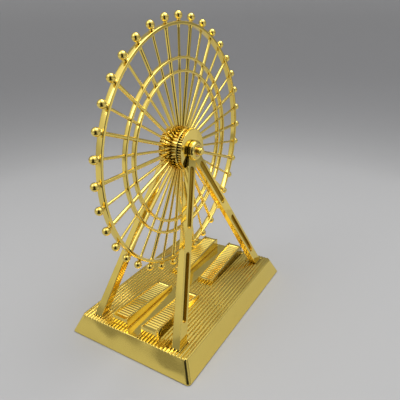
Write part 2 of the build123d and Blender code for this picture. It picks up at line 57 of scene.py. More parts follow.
# %% Camera
MM = 0.001
CAMERA_BEARING = math.radians(58.88)     # from straight along the axle, round to the right
CAMERA_TILT = math.radians(24.0)
CAMERA_ROLL = math.radians(-0.64)
CAMERA_PLACE = Vector((-195.9, -130.5, 177.9)) * MM
CAMERA_LENS, CAMERA_SENSOR = 37.72, 36.0

camera_data = bpy.data.cameras.new("camera")
camera_data.sensor_width = CAMERA_SENSOR
camera_data.lens = CAMERA_LENS
camera = bpy.data.objects.new("camera", camera_data)
bpy.context.scene.collection.objects.link(camera)
level = math.cos(CAMERA_TILT)
looks_along = Vector((math.sin(CAMERA_BEARING) * level, math.cos(CAMERA_BEARING) * level,
                      -math.sin(CAMERA_TILT)))
turn = looks_along.to_track_quat("-Z", "Y").to_matrix().to_4x4()
camera.matrix_world = Matrix.Translation(CAMERA_PLACE) @ turn @ Matrix.Rotation(CAMERA_ROLL, 4, "Z")
bpy.context.scene.camera = camera
bpy.context.scene.view_settings.view_transform = "Standard"
print("camera at", tuple(round(value, 4) for value in CAMERA_PLACE))

# %% [markdown]
# Small helpers serve every piece. One makes an object of a finished bmesh, one picks the points or
# edges out of what an operator hands back, and one turns a whole shape about an axis.

# %% Helpers for shapes
VERT, EDGE = bmesh.types.BMVert, bmesh.types.BMEdge


def object_from(shape, name):
    mesh = bpy.data.meshes.new(name)
    shape.to_mesh(mesh)
    shape.free()
    made = bpy.data.objects.new(name, mesh)
    bpy.context.scene.collection.objects.link(made)
    return made


def only(kind, parts):
    return [part for part in parts if isinstance(part, kind)]


def everything(shape):
    return shape.verts[:] + shape.edges[:] + shape.faces[:]


def rotate(shape, angle, axis):
    turning = Matrix.Rotation(angle, 3, axis)
    bmesh.ops.rotate(shape, cent=(0, 0, 0), matrix=turning, verts=shape.verts)


# %% [markdown]
# Nodes are added and wired in one step. Each named input is fed a plain value or another node's
# socket, so that a material reads like a list of what goes into what.

# %% Helpers for nodes
def feed(tree, node, inputs):
    for label, value in inputs.items():
        if isinstance(value, bpy.types.NodeSocket):
            tree.links.new(value, node.inputs[label])
        else:
            node.inputs[label].default_value = value


def new_node(tree, kind, inputs, **settings):
    node = tree.nodes.new("ShaderNode" + kind)
    for label, value in settings.items():
        setattr(node, label, value)
    feed(tree, node, inputs)
    return node


def new_material(name, colour, roughness, metallic=0.0):
    material = bpy.data.materials.new(name)
    material.use_nodes = True
    shader = material.node_tree.nodes["Principled BSDF"]
    feed(material.node_tree, shader, {"Base Color": (*colour, 1.0), "Roughness": roughness,
                                      "Metallic": metallic})
    return material, shader


# %% [markdown]
# Polished gold shows little of itself: nearly all that the eye sees in it is the room. So the room
# comes first. A photographer bends one sheet of pale paper up behind the model, which leaves no
# horizon. Painted shade darkens the paper away from the floor: pale on the floor, darkest in the bend
# and a little lighter above it, in place of the light falling off away from the lamps. The first
# change follows the distance from the middle, and the second the height.

# %% Pale paper
FLOOR_REACH = 0.34                       # the flat floor ends here, in metres
SHEET_BEND = 0.17                        # radius of the bend
# The floor grey is the paper's own grey. The bend and wall greys are darker because of painted shade.
PAPER_FLOOR = (0.47, 0.47, 0.47)
PAPER_BEND_SHADE = (0.25, 0.25, 0.255)
PAPER_WALL_SHADE = (0.33, 0.33, 0.335)
PAPER_ROUGHNESS = 0.75
WALL_FADE = (0.08, 0.23)                 # the wall gets lighter between these heights


def graded(tree, value, start, end, first_tone, last_tone):
    share = new_node(tree, "MapRange", {"Value": value, "From Min": start, "From Max": end},
                     interpolation_type="SMOOTHSTEP")
    mixed = new_node(tree, "Mix", {"Factor": share.outputs["Result"], "A": first_tone,
                                   "B": (*last_tone, 1.0)}, data_type="RGBA")
    return mixed.outputs["Result"]


pale_paper, paper_shader = new_material("pale_paper", PAPER_FLOOR, PAPER_ROUGHNESS)
tree = pale_paper.node_tree
place = new_node(tree, "TexCoord", {}).outputs["Object"]
height = new_node(tree, "SeparateXYZ", {"Vector": place}).outputs["Z"]
on_floor = new_node(tree, "VectorMath", {0: place, 1: (1.0, 1.0, 0.0)}, operation="MULTIPLY")
reach = new_node(tree, "VectorMath", {0: on_floor.outputs["Vector"]}, operation="LENGTH")
lower = graded(tree, reach.outputs["Value"], FLOOR_REACH - 0.05, FLOOR_REACH + SHEET_BEND - 0.01,
               (*PAPER_FLOOR, 1.0), PAPER_BEND_SHADE)
feed(tree, paper_shader, {"Base Color": graded(tree, height, *WALL_FADE, lower, PAPER_WALL_SHADE)})
print("the paper goes from", PAPER_FLOOR[0], "through", PAPER_BEND_SHADE[0], "to", PAPER_WALL_SHADE[0])

# %% [markdown]
# The sheet's outline is a line from the middle of the floor to the top of the wall, spun about Z.
# Its back third is mirrored in the metal as a shaded wall. The rest only closes the picture for a
# camera on another side, and the light and the reflections pass through it.

# %% Paper sheet
WALL_TOP = 0.75
BACK_HALF = math.radians(62)             # the real wall reaches this far round to each side
BACK_BEARING = math.pi / 2 - CAMERA_BEARING


def paper_ring(name, outline_end, start, sweep, steps):
    shape = bmesh.new()
    floor_end = shape.verts.new((FLOOR_REACH, 0.0, 0.0))
    if outline_end == "floor":
        middle = shape.verts.new((0.0, 0.0, 0.0))
        shape.edges.new((middle, floor_end))
    else:
        bend = bmesh.ops.spin(shape, geom=[floor_end], cent=(FLOOR_REACH, 0.0, SHEET_BEND),
                              axis=(0, -1, 0), angle=math.pi / 2, steps=16)
        wall_top = shape.verts.new((FLOOR_REACH + SHEET_BEND, 0.0, WALL_TOP))
        shape.edges.new((only(VERT, bend["geom_last"])[0], wall_top))
    rotate(shape, start, "Z")
    bmesh.ops.spin(shape, geom=everything(shape), cent=(0, 0, 0), axis=(0, 0, 1), angle=sweep,
                   steps=steps, use_merge=outline_end == "floor")
    bmesh.ops.remove_doubles(shape, verts=shape.verts, dist=0.00001)
    bmesh.ops.recalc_face_normals(shape, faces=shape.faces)
    print(name, "has", len(shape.faces), "faces")
    ring = object_from(shape, name)
    ring.data.shade_smooth()
    ring.data.materials.append(pale_paper)
    return ring


paper_ring("paper_floor", "floor", 0.0, math.tau, 96)
paper_ring("paper_wall", "wall", BACK_BEARING - BACK_HALF, 2 * BACK_HALF, 36)
closing = paper_ring("paper_closing", "wall", BACK_BEARING + BACK_HALF, math.tau - 2 * BACK_HALF, 64)
closing.visible_glossy = closing.visible_diffuse = closing.visible_shadow = False

# %% [markdown]
# Light comes from the room, from two soft boxes and from one weak pale card on the left. The room is
# one ramp of greys from below to above: a pale table top, a dim horizon where the furniture would
# be, and a bright ceiling. Each pair holds a direction's rise, from -1 straight down to 1 straight
# up, and its grey. The dim band draws a dark line along every round rod.

# %% Room and lamps
SKY_GREYS = ((-0.13, 0.62), (-0.05, 0.24), (0.1, 0.28), (0.22, 0.44), (0.41, 0.5), (0.75, 0.95),
             (0.99, 1.0))
SKY_WARMTH = 0.99                        # red and green, as a share of blue

world = bpy.data.worlds.new("studio")
bpy.context.scene.world = world
world.use_nodes = True
tree = world.node_tree
direction = new_node(tree, "TexCoord", {})
apart = new_node(tree, "SeparateXYZ", {"Vector": direction.outputs["Generated"]})
share = new_node(tree, "MapRange", {"Value": apart.outputs["Z"], "From Min": -1.0})
greys = new_node(tree, "ValToRGB", {"Fac": share.outputs["Result"]})
for rise, grey in SKY_GREYS:
    stop = greys.color_ramp.elements.new((rise + 1) / 2)
    stop.color = (grey * SKY_WARMTH, grey * SKY_WARMTH, grey, 1.0)
for factory_stop in (0, -1):
    greys.color_ramp.elements.remove(greys.color_ramp.elements[factory_stop])
feed(tree, tree.nodes["Background"], {"Color": greys.outputs["Color"]})


def soft_box(name, place, size, power):
    data = bpy.data.lights.new(name, "AREA")
    data.shape = "RECTANGLE"
    data.size, data.size_y = size
    data.energy = power
    lamp = bpy.data.objects.new(name, data)
    lamp.location = place
    lamp.rotation_euler = (-Vector(place)).to_track_quat("-Z", "Y").to_euler()
    bpy.context.scene.collection.objects.link(lamp)
    print(name, "gives", power, "W")


soft_box("soft_box_above", (0.15, -0.1, 0.8), (0.5, 0.5), 2.6)
soft_box("soft_box_left", (-0.42, 0.28, 0.6), (0.2, 0.3), 0.4)
soft_box("pale_card_left", (-0.55, 0.4, 0.28), (0.5, 0.4), 0.11)

# %% [markdown]
# A dark flag lies under the camera and stands up behind it, where the photographer would be. Only
# reflections see it. It puts the thin dark lines into every rounded edge and the dark spot into
# every ball, and without it polished metal looks like yellow paint. It is one edge that is pulled
# out along the floor, and then up.

# %% Dark flag
FLAG_HALF = 0.17
FLAG_START, FLAG_REACH, FLAG_TOP = 0.14, 0.38, 0.47      # from the model along the floor, and up
FLAG_LIFT = 0.001

flag_shape = bmesh.new()
edge_points = [flag_shape.verts.new((x, -FLAG_START, FLAG_LIFT)) for x in (-FLAG_HALF, FLAG_HALF)]
fold = [flag_shape.edges.new(edge_points)]
for step in ((0, FLAG_START - FLAG_REACH, 0), (0, 0, FLAG_TOP)):
    pulled = bmesh.ops.extrude_edge_only(flag_shape, edges=fold)["geom"]
    fold = [edge for edge in only(EDGE, pulled) if not any(vert in edge_points for vert in edge.verts)]
    edge_points = list(fold[0].verts)
    bmesh.ops.translate(flag_shape, vec=step, verts=edge_points)
rotate(flag_shape, -CAMERA_BEARING, "Z")
flag = object_from(flag_shape, "dark_flag")
flag.data.materials.append(new_material("black_cloth", (0.012, 0.012, 0.014), 0.9)[0])
flag.visible_camera = flag.visible_diffuse = flag.visible_shadow = False
print("dark_flag has", len(flag.data.polygons), "faces")

# %% [markdown]
# The gold is a thin bright plating over die-cast zinc. Three things keep it from looking like
# painted plastic: the casting under it is never quite flat, fingers leave it a little duller in
# patches, and a painted shade makes its colour deeper and browner where surfaces face each other,
# in place of the light lost between them. Each is a node group, so that every gold material can use
# it with its own values. A group puts out only a value or a colour, and the shader itself stays in
# the material.

# %% Node groups for plated metal
FLOAT, COLOUR = "NodeSocketFloat", "NodeSocketColor"


def new_group(name, inputs, output, output_kind):
    group = bpy.data.node_groups.new(name, "ShaderNodeTree")
    for label, kind, value in inputs:
        socket = group.interface.new_socket(name=label, in_out="INPUT", socket_type=kind)
        socket.default_value = value
    group.interface.new_socket(name=output, in_out="OUTPUT", socket_type=output_kind)
    return group, group.nodes.new("NodeGroupInput"), group.nodes.new("NodeGroupOutput")


def object_noise(tree, scale, detail):
    place = new_node(tree, "TexCoord", {}).outputs["Object"]
    noise = new_node(tree, "TexNoise", {"Vector": place, "Scale": scale, "Detail": detail})
    return noise.outputs["Fac"]


ripple, given, out = new_group("cast_ripple", [("Scale", FLOAT, 140.0)], "Height", FLOAT)
feed(ripple, out, {"Height": object_noise(ripple, given.outputs["Scale"], 1.0)})

gloss, given, out = new_group("handled_gloss", [("Scale", FLOAT, 60.0), ("Clean", FLOAT, 0.06),
                                                ("Handled", FLOAT, 0.16)], "Roughness", FLOAT)
spread = new_node(gloss, "MapRange", {
    "Value": object_noise(gloss, given.outputs["Scale"], 4.0), "From Min": 0.35, "From Max": 0.68,
    "To Min": given.outputs["Clean"], "To Max": given.outputs["Handled"]})
feed(gloss, out, {"Roughness": spread.outputs["Result"]})

recess, given, out = new_group("recess_shade", [("Open", COLOUR, (1.0, 0.8, 0.3, 1.0)),
                                               ("Shaded", COLOUR, (0.6, 0.3, 0.05, 1.0)),
                                               ("Reach", FLOAT, 0.002)], "Color", COLOUR)
# Painted shade: where the ambient occlusion finds surfaces facing each other, the colour goes from the
# open tone to the darker shade tone.
facing = new_node(recess, "AmbientOcclusion", {"Distance": given.outputs["Reach"]}, samples=8)
tone = new_node(recess, "Mix", {"Factor": facing.outputs["AO"], "A": given.outputs["Shaded"],
                                "B": given.outputs["Open"]}, data_type="RGBA")
feed(recess, out, {"Color": tone.outputs["Result"]})
print("node groups:", [group.name for group in bpy.data.node_groups])

# %% [markdown]
# One function dresses the groups up as a gold material. Every finish takes its own open tone, its
# own painted shade tone for where surfaces face each other, its own gloss and its own ripple. A
# Bevel node softens the sharp edges of the sub-parts that are used as they are, the way a real
# casting's edges are softened by polishing before it's plated.

# %% Gold finishes
def gold(name, open_tone, shade_tone, reach, clean, handled, ripple_scale, ripple_depth, soft_edge=0.0):
    material, shader = new_material(name, open_tone, clean, 1.0)
    tree = material.node_tree
    tone = new_node(tree, "Group", {"Open": (*open_tone, 1.0), "Shaded": (*shade_tone, 1.0),
                                    "Reach": reach}, node_tree=recess)
    shine = new_node(tree, "Group", {"Clean": clean, "Handled": handled}, node_tree=gloss)
    wave = new_node(tree, "Group", {"Scale": ripple_scale}, node_tree=ripple)
    bump = new_node(tree, "Bump", {"Strength": 1.0, "Distance": ripple_depth,
                                   "Height": wave.outputs["Height"]})
    if soft_edge:
        edge = new_node(tree, "Bevel", {"Radius": soft_edge}, samples=6)
        feed(tree, bump, {"Normal": edge.outputs["Normal"]})
    feed(tree, shader, {"Base Color": tone.outputs["Color"], "Normal": bump.outputs["Normal"],
                        "Roughness": shine.outputs["Roughness"]})
    print("finish", name)
    return material


# The first colour below is the open gold. The other three are painted shade tones, which are mixed in
# where surfaces face each other.
LEMON = (0.97, 0.745, 0.18)
HONEY_SHADE = (0.88, 0.63, 0.13)
AMBER_SHADE = (0.72, 0.53, 0.1)
OLIVE_SHADE = (0.5, 0.37, 0.07)
base_gold = gold("base_gold", LEMON, AMBER_SHADE, 0.0008, 0.07, 0.14, 28.0, 0.0018, 0.0007)
ramp_gold = gold("ramp_gold", LEMON, HONEY_SHADE, 0.001, 0.1, 0.2, 160.0, 0.00004)
leg_gold = gold("leg_gold", LEMON, AMBER_SHADE, 0.0015, 0.06, 0.12, 60.0, 0.0003)
wheel_gold = gold("wheel_gold", LEMON, HONEY_SHADE, 0.001, 0.1, 0.18, 120.0, 0.00004)
spoke_gold = gold("spoke_gold", LEMON, HONEY_SHADE, 0.001, 0.08, 0.16, 200.0, 0.00002)
hub_gold = gold("hub_gold", LEMON, OLIVE_SHADE, 0.0008, 0.07, 0.14, 150.0, 0.00003)

# %% [markdown]
# A polishing wheel can't reach into the legs' troughs, so the plating there stays satin. Their
# colour is painted dark brown, a painted shade in place of the light lost in the hollows. The legs'
# mesh will carry an attribute, "sunk", that is 1 inside a trough. The leg finish reads it and mixes
# the polished tone and gloss with the painted brown shade and the satin gloss.

# %% Troughs with painted shade and satin gloss
# The trough colour below is a painted shade. The satin value is the troughs' roughness.
UMBER_SHADE = (0.42, 0.26, 0.025)
SATIN = 0.3

tree = leg_gold.node_tree
shader = tree.nodes["Principled BSDF"]
sunk_mask = new_node(tree, "Attribute", {}, attribute_name="sunk").outputs["Fac"]
for label, kind, trough_shade_or_satin in (("Base Color", "RGBA", (*UMBER_SHADE, 1.0)), ("Roughness", "FLOAT", SATIN)):
    polished = shader.inputs[label].links[0].from_socket
    mixed = new_node(tree, "Mix", {"Factor": sunk_mask, "A": polished, "B": trough_shade_or_satin},
                     data_type=kind)
    feed(tree, shader, {label: mixed.outputs["Result"]})
print("leg_gold is brown and satin where sunk is 1")

# %% [markdown]
# Most pieces below are drawn in millimetres, as a workshop drawing is, and brought to metres at the
# very end. `keep` closes such a shape, turns its faces outwards and smooths it up to a chosen angle.
# A weighted-normal modifier lets the large faces win over the narrow rounded ones beside them, so
# that a flat face shines like a flat mirror.

# %% Finish a piece
MERGE = 0.0005                           # points closer than this are one


def keep(shape, name, body, slot_name, material, *nodes, sharp=35.0):
    bmesh.ops.remove_doubles(shape, verts=shape.verts, dist=MERGE)
    bmesh.ops.recalc_face_normals(shape, faces=shape.faces)
    bmesh.ops.scale(shape, vec=(MM, MM, MM), verts=shape.verts)
    piece = object_from(shape, name)
    piece.data.shade_smooth()
    piece.data.set_sharp_from_angle(angle=math.radians(sharp))
    flat_faces = piece.modifiers.new("flat_faces", "WEIGHTED_NORMAL")
    flat_faces.keep_sharp = True
    piece.data.materials.append(material)
    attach(piece, body)
    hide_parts(*nodes)
    print(name, "has", len(piece.data.polygons), "faces")
    return piece


# %% [markdown]
# Rims, rings, collars, bearing heads and the axle are all round about one line, so a lathe would
# turn them. `turned` does the same: it spins an outline of radius and place along the axle once
# round the Y axis. `round_off` then takes the sharp edges down with a bevel, which is what gives
# polished metal its fine bright lines. Real castings have no perfectly sharp edge.

# %% Lathe and file
def turned(outline, steps, closed=True):
    shape = bmesh.new()
    corners = [shape.verts.new((radius, along, 0.0)) for radius, along in outline]
    ends = corners[1:] + corners[:1] if closed else corners[1:]
    line = [shape.edges.new(pair) for pair in zip(corners, ends)]
    bmesh.ops.spin(shape, geom=corners + line, cent=(0, 0, 0), axis=(0, 1, 0), angle=math.tau,
                   steps=steps, use_merge=True)
    bmesh.ops.remove_doubles(shape, verts=shape.verts, dist=MERGE)
    bmesh.ops.recalc_face_normals(shape, faces=shape.faces)
    return shape


def sleeve(inner, outer, start, end, steps):
    return turned([(inner, start), (outer, start), (outer, end), (inner, end)], steps)


def round_off(shape, radius, segments=3, angle=40.0, chosen=lambda edge: True):
    edges = [edge for edge in shape.edges if len(edge.link_faces) == 2
             and edge.calc_face_angle() > math.radians(angle) and chosen(edge)]
    bmesh.ops.bevel(shape, geom=edges, offset=radius, offset_type="OFFSET", segments=segments,
                    profile=0.5, affect="EDGES", clamp_overlap=True, material=-1)


# %% [markdown]
# The sizes of the round pieces come from the sub-parts that they stand for: an outer radius and the
# places of the two ends along the axle. They are drawn round the origin and lifted to the axle last.

# %% Measures of the round sub-parts
def millimetres(node):
    low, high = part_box(node)
    return [value / MM for value in low], [value / MM for value in high]


def round_size(node):
    low, high = millimetres(node)
    return (high[0] - low[0]) / 2, low[1], high[1]


def lift_to_axle(shape):
    bmesh.ops.translate(shape, vec=(0, 0, AXLE_HEIGHT), verts=shape.verts)


low, high = millimetres("axle")
AXLE_HEIGHT = (low[2] + high[2]) / 2
print("axle is", round(AXLE_HEIGHT, 2), "mm up")

# %% [markdown]
# The rim and the two inner rings are flat bands. Both broad faces are a little crowned, because a
# cast band shrinks most at its edges, and the crown draws a soft line of light along it. Six
# corners are enough for the outline.

# %% Rim and rings
BAND_CROWN = 0.22
BAND_EDGE = 0.4
BAND_THICKNESS = {"rim": 2.05, "outer_ring": 1.7, "inner_ring": 1.7}

for name, thickness in BAND_THICKNESS.items():
    outer, front, rear = round_size(name)
    inner, half = outer - thickness, (rear - front) / 2
    band = turned([(inner + BAND_CROWN, -half), (outer - BAND_CROWN, -half), (outer, 0.0),
                   (outer - BAND_CROWN, half), (inner + BAND_CROWN, half), (inner, 0.0)], steps=144)
    round_off(band, BAND_EDGE)
    lift_to_axle(band)
    keep(band, name + "_band", "wheel", "wheel_gold", wheel_gold, name)

# %% [markdown]
# Thirty-six round spokes run from the hub to the rim, thick and thin by turns. Where a spoke passes
# through a ring or enters the rim, the casting has a small fillet. One spoke is turned from an
# outline with those swellings, laid along the radius, and then duplicated with a spin about the axle.

# %% Spokes
SPOKE_COUNT = 36
REST_TURN = math.radians(0.59)           # the first spoke leans this far from upright
SPOKE_START = 10.55
SPOKE_END = 66.9
SPOKE_INTO_RIM = 0.6
FILLET = 1.22                            # radius at a fillet, as a share of the spoke's own
FILLET_RUN = 0.9


def laid_along_radius(shape, first_turn):
    rotate(shape, math.pi / 2, "X")
    rotate(shape, first_turn, "Y")


def repeat_round_axle(shape, count):
    bmesh.ops.spin(shape, geom=everything(shape), cent=(0, 0, 0), axis=(0, 1, 0),
                   use_duplicate=True, angle=math.tau * (count - 1) / count, steps=count - 1)


def spoke_outline(radius):
    outline = [(0.0, SPOKE_START), (radius, SPOKE_START)]
    for ring in ("inner_ring", "outer_ring"):
        outer = round_size(ring)[0]
        inner = outer - BAND_THICKNESS[ring]
        outline += [(radius, inner - FILLET_RUN), (radius * FILLET, inner),
                    (radius * FILLET, outer), (radius, outer + FILLET_RUN)]
    rim_inner = SPOKE_END - SPOKE_INTO_RIM
    return outline + [(radius, rim_inner - 1.5 * FILLET_RUN),
                      (radius * 1.1, rim_inner - 0.5 * FILLET_RUN), (radius * 1.3, rim_inner),
                      (radius * 1.3, SPOKE_END), (0.0, SPOKE_END)]


for name, radius, first in (("thin_spokes", 0.72, 0), ("thick_spokes", 1.02, 1)):
    rods = turned(spoke_outline(radius), steps=14, closed=False)
    laid_along_radius(rods, REST_TURN + first * math.tau / SPOKE_COUNT)
    repeat_round_axle(rods, SPOKE_COUNT // 2)
    lift_to_axle(rods)
    keep(rods, name + "_rods", "wheel", "spoke_gold", spoke_gold, name, sharp=60.0)

# %% [markdown]
# Every spoke ends in a small ball outside the rim, where a real wheel hangs its cabins. The ball is
# a UV sphere. Its stem is turned with a wide foot, so that it flows out of the rim the way melted
# metal does, and both are spun round the wheel together.

# %% Ball finials
RIM_RADIUS = 68.35
BALL_RADIUS = 2.2
BALL_CENTRE = RIM_RADIUS + 0.45 + BALL_RADIUS
STEM = ((0.0, -0.7), (1.65, -0.7), (1.65, -0.05), (1.2, 0.12), (0.98, 0.4), (1.05, 0.8))

stem_outline = [(radius, RIM_RADIUS + over_rim) for radius, over_rim in STEM]
finials = turned(stem_outline + [(0.0, BALL_CENTRE)], steps=16, closed=False)
laid_along_radius(finials, 0.0)
bmesh.ops.create_uvsphere(finials, u_segments=24, v_segments=14, radius=BALL_RADIUS,
                          matrix=Matrix.Translation((0, 0, BALL_CENTRE)))
rotate(finials, REST_TURN, "Y")
repeat_round_axle(finials, SPOKE_COUNT)
lift_to_axle(finials)
keep(finials, "ball_finials_cast", "wheel", "wheel_gold", wheel_gold, "ball_finials", sharp=60.0)

# %% [markdown]
# On each side of the spokes sits a thin flange, which is a plain ring with its edges taken down.

# %% Flanges
AXLE_RADIUS = 2.2
SIDES = {"front": -1, "rear": 1}

for side in SIDES:
    flange = sleeve(AXLE_RADIUS, *round_size("hub_flange_" + side), steps=96)
    round_off(flange, 0.3)
    lift_to_axle(flange)
    keep(flange, "flange_" + side, "wheel", "hub_gold", hub_gold, "hub_flange_" + side)

# %% [markdown]
# After the flange comes a dark groove, then a collar with a knurled edge to turn the wheel by. The
# knurl starts as a circle with four corners for each tooth. Two of every four are pulled in, and the
# toothed face is extruded along the axle. A smooth, bevelled front disc and a narrow neck are turned
# and added to it.

# %% Knurled collars
KNURL_COUNT = 52
KNURL_DEPTH = 0.92                       # bottom of a groove, as a share of the collar's radius
COLLAR_BEVEL = 0.35
GROOVE_WIDTH = 0.45
NECK_RADIUS = 10.0


def knurled_ring(radius, start, end):
    collar = bmesh.new()
    ring = bmesh.ops.create_circle(collar, cap_ends=True, radius=radius, segments=4 * KNURL_COUNT)
    valleys = [vert for number, vert in enumerate(ring["verts"]) if number % 4 in (0, 1)]
    bmesh.ops.scale(collar, vec=(KNURL_DEPTH, KNURL_DEPTH, 1), verts=valleys)
    grown = bmesh.ops.extrude_face_region(collar, geom=collar.faces[:], use_keep_orig=True)["geom"]
    bmesh.ops.translate(collar, vec=(0, 0, end - start + 0.1), verts=only(VERT, grown))
    rotate(collar, -math.pi / 2, "X")
    bmesh.ops.translate(collar, vec=(0, start, 0), verts=collar.verts)
    return collar


def join_into(shape, part):
    mesh = bpy.data.meshes.new("part")
    part.to_mesh(mesh)
    part.free()
    shape.from_mesh(mesh)
    bpy.data.meshes.remove(mesh)


def corner_at(place, beyond):
    def chosen(edge):
        return all(abs(vert.co.y - place) < 0.001 and math.hypot(vert.co.x, vert.co.z) > beyond
                   for vert in edge.verts)
    return chosen


for side, sign in SIDES.items():
    radius, front, rear = round_size("knurled_collar_" + side)
    near, far = sorted((abs(front), abs(rear)))
    tooth_start, tooth_end = near + GROOVE_WIDTH, far - COLLAR_BEVEL
    collar = knurled_ring(radius, tooth_start, tooth_end)
    join_into(collar, sleeve(AXLE_RADIUS, radius, tooth_end, far, steps=96))
    round_off(collar, COLLAR_BEVEL * 0.9, segments=4, angle=57.0, chosen=corner_at(far, 8.0))
    join_into(collar, sleeve(AXLE_RADIUS, NECK_RADIUS, near, tooth_start + 0.2, steps=96))
    if sign < 0:
        rotate(collar, math.pi, "Z")
    lift_to_axle(collar)
    keep(collar, "collar_" + side, "wheel", "hub_gold", hub_gold, "knurled_collar_" + side)

# %% [markdown]
# The axle is a plain rod with rounded ends. It turns in two bronze bushes, pressed into the bearing
# heads. The heads are domed like a mushroom cap, which a wide bevel with many segments gives.

# %% Axle, bushes and bearing heads
BUSH_GAP, HEAD_GAP = 0.05, 0.02          # round the axle and round the bush
HEAD_DOME = 1.9
FINE_EDGE = 0.12

front, rear = round_size("axle")[1:]
axle_rod = turned([(0.0, front), (AXLE_RADIUS, front), (AXLE_RADIUS, rear), (0.0, rear)], steps=48,
                  closed=False)
round_off(axle_rod, 0.8, segments=6)
lift_to_axle(axle_rod)
keep(axle_rod, "axle_rod", "wheel", "hub_gold", hub_gold, "axle", sharp=60.0)

# The bush's second colour is the painted shade tone for its recesses.
bush_bronze = gold("bush_bronze", (0.9, 0.63, 0.27), (0.55, 0.3, 0.1), 0.001, 0.2, 0.3, 300.0, 0.00001)
for side, sign in SIDES.items():
    bush_radius, front, rear = round_size("bush_" + side)
    bush = sleeve(AXLE_RADIUS + BUSH_GAP, bush_radius, front, rear, steps=48)
    round_off(bush, FINE_EDGE, segments=2)
    lift_to_axle(bush)
    keep(bush, "bush_ring_" + side, "stand", "bush_bronze", bush_bronze, "bush_" + side)

    radius, front, rear = round_size("bearing_head_" + side)
    domed = sleeve(bush_radius + HEAD_GAP, radius, front, rear, steps=72)
    outer_face = sign * max(abs(front), abs(rear))
    round_off(domed, HEAD_DOME, segments=9, chosen=corner_at(outer_face, 4.0))
    round_off(domed, FINE_EDGE, segments=2, angle=60.0)
    lift_to_axle(domed)
    keep(domed, "head_" + side, "stand", "hub_gold", hub_gold, "bearing_head_" + side, sharp=45.0)

# %% [markdown]
# Four slender legs carry the wheel. Each is a bar that gets wider but thinner towards the top, with
# two long sunk troughs in its outer face. A cube's eight corners are moved to the bar's two ends,
# and level cuts mark off the troughs.

# %% Leg bar
DECK_TOP = 11.8
LEG_FOOT = Vector((50.1, 28.05, DECK_TOP))     # middle of the leg at deck height
LEG_TOP = Vector((0.4, 7.05, AXLE_HEIGHT))     # and at axle height
FOOT_SECTION = (7.29, 5.3)
TOP_SECTION = (8.02, 2.5)
TROUGHS = ((21.0, 57.3, 2.3), (65.9, 99.4, 1.55))    # lowest point, highest point and depth
up_the_leg = (LEG_TOP - LEG_FOOT).normalized()


def leg_middle(height):
    return LEG_FOOT.lerp(LEG_TOP, (height - LEG_FOOT.z) / (LEG_TOP.z - LEG_FOOT.z))


leg = bmesh.new()
sunk = leg.verts.layers.float.new("sunk")
for corner in bmesh.ops.create_cube(leg, size=1.0)["verts"]:
    middle, section = (LEG_TOP, TOP_SECTION) if corner.co.z > 0 else (LEG_FOOT, FOOT_SECTION)
    corner.co = middle + Vector((corner.co.x * section[0], corner.co.y * section[1], 0))
for height in [height for trough in TROUGHS for height in trough[:2]]:
    bmesh.ops.bisect_plane(leg, geom=everything(leg), plane_co=leg_middle(height), plane_no=up_the_leg)
outward = max(leg.faces, key=lambda face: face.normal.y).normal.copy()
print("leg bar has", len(leg.faces), "faces")

# %% [markdown]
# Each trough is inset, its corners are rounded with a vertex bevel, and it is sunk in four steps,
# steep at first and flatter each time, into a rounded hollow. Light bounces from wall to wall in it
# and comes out deeper and darker than from the flat metal beside it.

# %% Leg troughs
TROUGH_MARGIN = 1.6
TROUGH_CORNER = 1.6
TROUGH_STEPS = ((0.08, 0.42), (0.3, 0.28), (0.45, 0.18), (0.5, 0.12))    # inwards, share of depth


def outer_faces(low, high):
    return [face for face in leg.faces if face.normal.dot(outward) > 0.99
            and low < face.calc_center_median().z < high]


for low, high, depth in TROUGHS:
    panel = max(outer_faces(low, high), key=lambda face: face.calc_area())
    bmesh.ops.inset_individual(leg, faces=[panel], thickness=TROUGH_MARGIN, use_even_offset=True)
    bmesh.ops.bevel(leg, geom=panel.verts[:], offset=TROUGH_CORNER, offset_type="OFFSET", segments=6,
                    profile=0.5, affect="VERTICES", clamp_overlap=True, material=-1)
    panel = max(outer_faces(low, high), key=lambda face: len(face.verts))
    for inwards, share in TROUGH_STEPS:
        bmesh.ops.inset_individual(leg, faces=[panel], thickness=inwards, depth=-share * depth,
                                   use_even_offset=True)
        # Trough points are marked for the painted brown shade and the satin gloss.
        for vert in panel.verts:
            vert[sunk] = 1.0
print("with its troughs it has", len(leg.faces), "faces")

# %% [markdown]
# The bar's long edges are rounded, more on the outer side than on the inner one. Then it is cut to
# length: against the bearing head's inner face, beside the other leg of its pair, and below the axle.

# %% Leg edges and ends
OUTER_ROUND, INNER_ROUND = 1.2, 0.5
HEAD_INNER = 8.06
LEG_GAP = 0.02
BELOW_AXLE = 3.7


def long_edges(side):
    def chosen(edge):
        start, end = edge.verts[0].co, edge.verts[1].co
        along = abs((end - start).normalized().dot(up_the_leg)) > 0.95
        return along and side * (start.y - leg_middle(start.z).y) > 0.9
    return chosen


def cut_off(shape, point, normal, closed=True):
    cut = bmesh.ops.bisect_plane(shape, geom=everything(shape), plane_co=point, plane_no=normal,
                                 clear_outer=True)
    if closed:
        bmesh.ops.holes_fill(shape, edges=only(EDGE, cut["geom_cut"]), sides=0)


for radius, side in ((OUTER_ROUND, 1), (INNER_ROUND, -1)):
    round_off(leg, radius, segments=4, angle=60.0, chosen=long_edges(side))
cut_off(leg, (0, HEAD_INNER, 0), (0, -1, 0))
cut_off(leg, (LEG_GAP, 0, 0), (-1, 0, 0))
cut_off(leg, Vector((0, LEG_TOP.y, AXLE_HEIGHT)) - BELOW_AXLE * up_the_leg, up_the_leg)
print("leg has", len(leg.faces), "faces")

# %% [markdown]
# Each leg ends in a block let into the deck, ribbed like the deck round it. One rib is a point spun
# through an arc, and the next rib starts where it ends. The row of arcs is extruded along X, trimmed
# to the block and extruded down.

